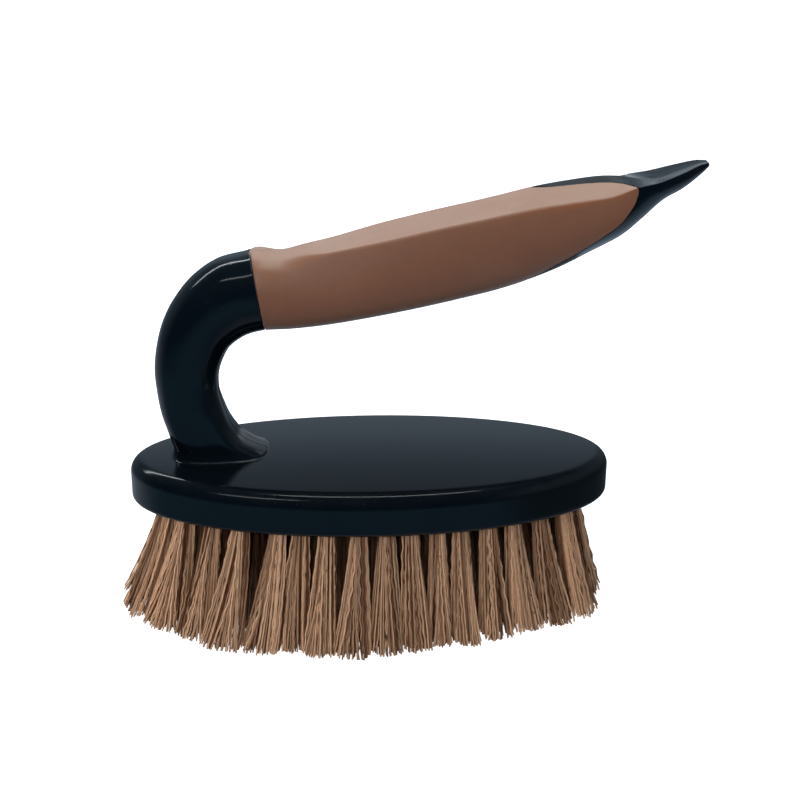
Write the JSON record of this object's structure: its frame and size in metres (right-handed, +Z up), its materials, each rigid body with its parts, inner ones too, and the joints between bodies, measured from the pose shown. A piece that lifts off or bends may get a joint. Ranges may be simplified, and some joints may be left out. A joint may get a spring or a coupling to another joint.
{
  "type": "scrub brush",
  "caption": "Oval scrub brush with splayed bristle tufts and a raised gooseneck handle that carries a soft grip and ends in an upturned pointed tail.",
  "frame": {"origin": "the centre of the flat bristle face, under the middle of the block, where the brush stands", "axes": "+X along the block from the neck end to the tail of the handle, +Y across the block away from the pictured side, +Z up from the bristle tips to the handle"},
  "size_m": [0.1731, 0.0798, 0.1372],
  "materials": {
    "black_plastic": "glossy blue-black moulded polypropylene",
    "tan_rubber": "matt tan-brown thermoplastic rubber",
    "filament": "slightly crimped tan synthetic filament"
  },
  "bodies": {
    "root": {"brush_block": "black_plastic", "handle_core": "black_plastic", "grip_sleeve": "tan_rubber", "outer_tuft_01": "filament", "outer_tuft_02": "filament", "outer_tuft_03": "filament", "outer_tuft_04": "filament", "outer_tuft_05": "filament", "outer_tuft_06": "filament", "outer_tuft_07": "filament", "outer_tuft_08": "filament", "outer_tuft_09": "filament", "outer_tuft_10": "filament", "outer_tuft_11": "filament", "outer_tuft_12": "filament", "outer_tuft_13": "filament", "outer_tuft_14": "filament", "outer_tuft_15": "filament", "outer_tuft_16": "filament", "outer_tuft_17": "filament", "outer_tuft_18": "filament", "outer_tuft_19": "filament", "outer_tuft_20": "filament", "outer_tuft_21": "filament", "outer_tuft_22": "filament", "outer_tuft_23": "filament", "outer_tuft_24": "filament", "outer_tuft_25": "filament", "outer_tuft_26": "filament", "outer_tuft_27": "filament", "outer_tuft_28": "filament", "outer_tuft_29": "filament", "outer_tuft_30": "filament", "outer_tuft_31": "filament", "outer_tuft_32": "filament", "outer_tuft_33": "filament", "inner_tuft_pair_01": "filament", "inner_tuft_pair_02": "filament", "inner_tuft_pair_03": "filament", "inner_tuft_pair_04": "filament", "inner_tuft_pair_05": "filament", "inner_tuft_pair_06": "filament", "inner_tuft_pair_07": "filament", "inner_tuft_pair_08": "filament", "inner_tuft_pair_09": "filament", "inner_tuft_pair_10": "filament", "inner_tuft_pair_11": "filament", "inner_tuft_pair_12": "filament", "inner_tuft_pair_13": "filament", "centre_tuft_1": "filament", "centre_tuft_2": "filament", "centre_tuft_3": "filament", "centre_tuft_4": "filament", "centre_tuft_5": "filament", "centre_tuft_6": "filament", "centre_tuft_7": "filament", "centre_tuft_8": "filament", "centre_tuft_9": "filament"}
  },
  "joints": []
}
